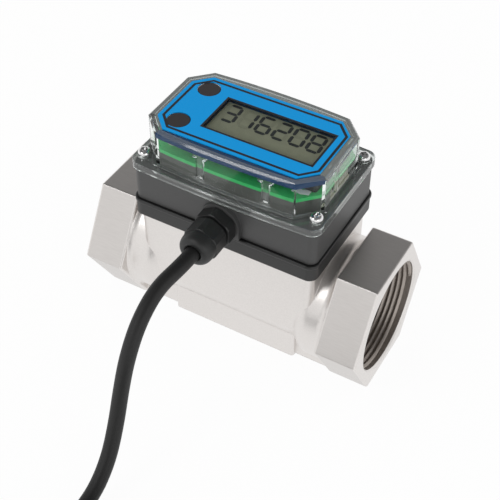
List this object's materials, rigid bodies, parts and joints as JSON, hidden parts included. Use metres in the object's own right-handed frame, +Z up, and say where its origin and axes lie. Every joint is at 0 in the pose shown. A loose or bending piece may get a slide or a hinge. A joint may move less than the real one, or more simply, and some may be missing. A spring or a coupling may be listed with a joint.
{
  "type": "turbine flow meter",
  "caption": "Turbine flow meter: steel body with hexagonal threaded ports, a rotor between vaned supports, a clear-covered display module with push buttons, and a cable gland with its cable.",
  "frame": {"origin": "centre of the foot's underside, below the middle of the flow axis", "axes": "+X along the flow axis towards the outlet port, -Y towards the cable gland, +Z up to the display"},
  "size_m": [0.1459, 0.2423, 0.1023],
  "materials": {
    "body_steel": "bead-blasted stainless steel, brushed on the hexagon flats",
    "inner_steel": "machined stainless steel",
    "screw_steel": "bright stainless steel",
    "bearing_grey": "smooth bearing composite",
    "housing_grey": "moulded dark grey plastic",
    "black_nylon": "moulded black nylon",
    "black_rubber": "moulded black rubber",
    "clear_plastic": "clear moulded polycarbonate",
    "label_blue": "satin printed film",
    "button_brown": "satin moulded plastic",
    "board_green": "green solder mask",
    "carrier_grey": "moulded dark plastic",
    "pale_plastic": "moulded pale plastic",
    "cell_steel": "nickel-plated steel",
    "spring_bronze": "plated spring bronze",
    "copper_wire": "enamelled copper wire",
    "display_glass": "display glass with an olive-grey ground",
    "frame_black": "moulded black plastic",
    "cable_black": "extruded black jacket",
    "wire_white": "extruded insulation"
  },
  "bodies": {
    "meter": {"meter_body": "body_steel", "outlet_support": "inner_steel", "inlet_support": "inner_steel", "rotor_shaft": "inner_steel", "thrust_washers": "inner_steel", "retaining_rings": "screw_steel", "pickup_bobbin": "pale_plastic", "pickup_winding": "copper_wire", "pickup_magnet": "inner_steel", "pickup_leads": "spring_bronze", "base_plate": "housing_grey", "base_screws": "screw_steel", "body_gasket": "black_rubber", "module_housing": "housing_grey", "cover_gasket": "black_rubber", "clear_cover": "clear_plastic", "cover_screws": "screw_steel", "face_label": "label_blue", "switch_pads": "pale_plastic", "circuit_board": "board_green", "board_screws": "screw_steel", "pin_header": "pale_plastic", "board_carrier": "carrier_grey", "coin_cells": "cell_steel", "cell_contacts": "spring_bronze", "lcd_frame": "frame_black", "lcd_connectors": "black_rubber", "lcd_glass": "display_glass", "gland_body": "black_nylon", "gland_oring": "black_rubber", "gland_seal": "black_rubber", "gland_nut": "black_nylon", "cable_entry": "cable_black", "signal_cable": "cable_black", "cable_coil": "cable_black", "cable_end": "cable_black", "cable_leads": "wire_white", "inner_leads": "wire_white"},
    "turbine": {"rotor": "inner_steel", "rotor_bearings": "bearing_grey"},
    "rate_key": {"rate_button": "button_brown", "rate_plunger": "pale_plastic"},
    "total_key": {"total_button": "button_brown", "total_plunger": "pale_plastic"}
  },
  "joints": [
    {"name": "rotor_spin", "type": "hinge", "parent": "meter", "child": "turbine", "pos_m": [0, 0, 0.02857], "axis": [1, 0, 0], "continuous": true},
    {"name": "rate_button_press", "type": "slide", "parent": "meter", "child": "rate_key", "axis": [0, 0, -1], "range_m": [0, 0.0008], "stiffness_N_per_m": 800},
    {"name": "total_button_press", "type": "slide", "parent": "meter", "child": "total_key", "axis": [0, 0, -1], "range_m": [0, 0.0008], "stiffness_N_per_m": 800}
  ]
}
